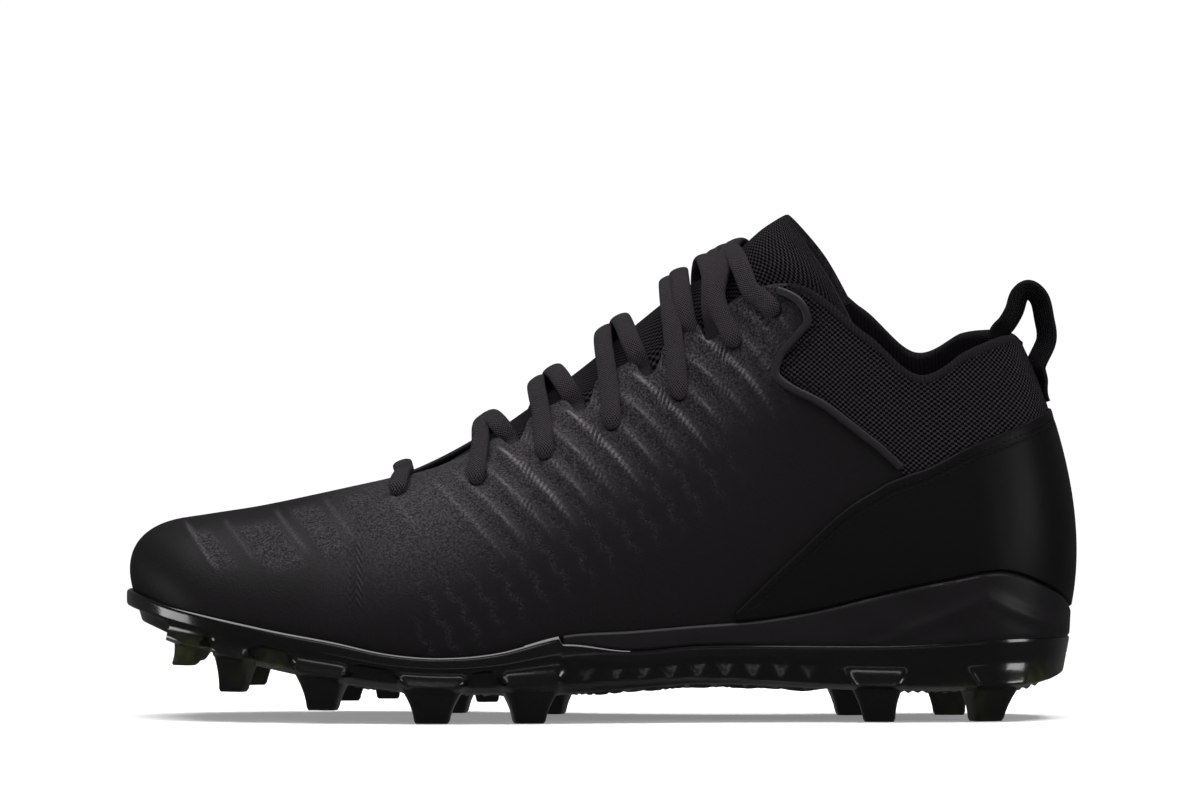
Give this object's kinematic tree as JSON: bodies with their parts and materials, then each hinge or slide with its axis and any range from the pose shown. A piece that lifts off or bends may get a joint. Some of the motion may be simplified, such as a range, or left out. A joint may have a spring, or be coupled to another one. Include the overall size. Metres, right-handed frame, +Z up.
{
  "type": "american football cleat",
  "caption": "Left american football cleat: hollow laced mid-cut upper with padded collar, free tongue and heel loop, on a matte midsole wedge and a glossy plate with tapered studs.",
  "frame": {"origin": "middle of the bounding box at the floor, under the studs", "axes": "+X from toe to heel, +Y to the medial side, +Z up"},
  "size_m": [0.2964, 0.1032, 0.157],
  "materials": {
    "upper_textile": "matte",
    "mesh_textile": "matte",
    "counter_film": "satin",
    "rolled_edge": "satin",
    "midsole_foam": "matte",
    "plate_plastic": "gloss",
    "footbed": "matte",
    "webbing": "satin",
    "lace": "matte"
  },
  "bodies": {
    "root": {"upper": "upper_textile", "tongue": "mesh_textile", "heel_counter": "counter_film", "quarter_edge_lateral": "rolled_edge", "quarter_edge_medial": "rolled_edge", "midsole": "midsole_foam", "outsole": "plate_plastic", "insole": "footbed", "pull_loop": "webbing", "lace_bar_1": "lace", "lace_cross_2": "lace", "lace_cross_3": "lace", "lace_cross_4": "lace", "lace_cross_5": "lace", "lace_cross_top": "lace"}
  },
  "joints": []
}
